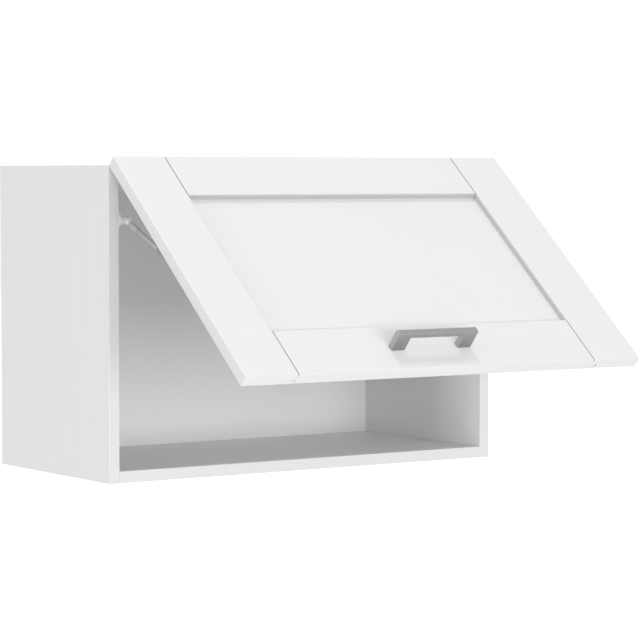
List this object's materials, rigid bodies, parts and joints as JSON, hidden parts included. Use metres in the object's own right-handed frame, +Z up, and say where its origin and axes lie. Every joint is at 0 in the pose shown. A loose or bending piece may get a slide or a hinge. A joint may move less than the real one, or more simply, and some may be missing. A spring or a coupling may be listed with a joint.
{
  "type": "range hood wall cabinet",
  "caption": "White kitchen wall cabinet with a framed lift-up flap on gas struts and concealed hinges, an open storage space, a bow handle and hanging holes at the rear.",
  "frame": {"origin": "midway between the two hanging holes, on the wall plane", "axes": "+X to the right seen from the front, +Y to the wall, +Z up; the flap is on the -Y side"},
  "size_m": [0.6, 0.6065, 0.4107],
  "materials": {
    "white_board": "white melamine, fine texture",
    "back_board": "white lacquered hardboard",
    "flap_foil": "matt white foil on fibreboard",
    "handle_steel": "brushed",
    "zinc_steel": "zinc plated",
    "nickel_steel": "nickel plated",
    "beech": "plain",
    "soft_dot": "clear, soft",
    "white_plastic": "moulded",
    "ferrule_grey": "moulded, pale grey",
    "grey_plastic": "moulded",
    "rod_steel": "satin",
    "cylinder_paint": "satin grey paint"
  },
  "bodies": {
    "carcass": {"side_panel_left": "white_board", "side_panel_right": "white_board", "top_panel": "white_board", "bottom_panel": "white_board", "back_panel": "back_board", "dowels": "beech", "cam_bolts": "zinc_steel", "cam_locks": "zinc_steel", "hanger_left": "zinc_steel", "hanger_right": "zinc_steel", "hanger_screws": "zinc_steel", "strut_mount_left": "white_plastic", "strut_mount_right": "white_plastic", "mount_screws": "zinc_steel", "hinge_plate_left": "nickel_steel", "hinge_plate_right": "nickel_steel", "hinge_arm_left": "nickel_steel", "hinge_arm_right": "nickel_steel", "hinge_pins": "nickel_steel", "hinge_screws": "nickel_steel"},
    "flap": {"stile_left": "flap_foil", "stile_right": "flap_foil", "top_rail": "flap_foil", "bottom_rail": "flap_foil", "flap_panel": "flap_foil", "handle": "handle_steel", "handle_screws": "zinc_steel", "bumpers": "soft_dot", "hinge_cup_left": "nickel_steel", "hinge_cup_right": "nickel_steel", "cup_screws": "nickel_steel", "flap_bracket_left": "zinc_steel", "flap_bracket_right": "zinc_steel", "bracket_screws": "zinc_steel"},
    "strut_rod_left": {"strut_socket_left": "white_plastic", "strut_ferrule_left": "ferrule_grey", "strut_rod_left": "rod_steel", "strut_piston_left": "grey_plastic"},
    "strut_cylinder_left": {"strut_foot_left": "white_plastic", "strut_cylinder_left": "cylinder_paint", "strut_gland_left": "grey_plastic"},
    "hinge_link_left": {"hinge_link_left": "nickel_steel"},
    "strut_rod_right": {"strut_socket_right": "white_plastic", "strut_ferrule_right": "ferrule_grey", "strut_rod_right": "rod_steel", "strut_piston_right": "grey_plastic"},
    "strut_cylinder_right": {"strut_foot_right": "white_plastic", "strut_cylinder_right": "cylinder_paint", "strut_gland_right": "grey_plastic"},
    "hinge_link_right": {"hinge_link_right": "nickel_steel"}
  },
  "joints": [
    {"name": "flap_hinge", "type": "hinge", "parent": "carcass", "child": "flap", "pos_m": [0, -0.2915, 0.0445], "axis": [-1, 0, 0], "range_deg": [-50, 0]},
    {"name": "strut_swivel_left", "type": "hinge", "parent": "carcass", "child": "strut_rod_left", "pos_m": [-0.27, -0.2816, -0.024], "axis": [-1, 0, 0], "range_deg": [-67.16, 0]},
    {"name": "strut_slide_left", "type": "slide", "parent": "strut_rod_left", "child": "strut_cylinder_left", "axis": [0, -0.9206, -0.3904], "range_m": [-0.03946, 0]},
    {"name": "hinge_link_turn_left", "type": "hinge", "parent": "carcass", "child": "hinge_link_left", "pos_m": [-0.18, -0.29843, 0.03596], "axis": [-1, 0, 0], "range_deg": [-75.12, 0]},
    {"name": "strut_swivel_right", "type": "hinge", "parent": "carcass", "child": "strut_rod_right", "pos_m": [0.27, -0.2816, -0.024], "axis": [-1, 0, 0], "range_deg": [-67.16, 0]},
    {"name": "strut_slide_right", "type": "slide", "parent": "strut_rod_right", "child": "strut_cylinder_right", "axis": [0, -0.9206, -0.3904], "range_m": [-0.03946, 0]},
    {"name": "hinge_link_turn_right", "type": "hinge", "parent": "carcass", "child": "hinge_link_right", "pos_m": [0.18, -0.29843, 0.03596], "axis": [-1, 0, 0], "range_deg": [-75.12, 0]}
  ],
  "couplings": [
    {"joint": "strut_swivel_left", "follows": "flap_hinge", "ratio": 1.3413},
    {"joint": "strut_slide_left", "follows": "flap_hinge", "m_per_rad": 0.045103},
    {"joint": "hinge_link_turn_left", "follows": "flap_hinge", "ratio": 1.5004},
    {"joint": "strut_swivel_right", "follows": "flap_hinge", "ratio": 1.3413},
    {"joint": "strut_slide_right", "follows": "flap_hinge", "m_per_rad": 0.045103},
    {"joint": "hinge_link_turn_right", "follows": "flap_hinge", "ratio": 1.5004}
  ]
}
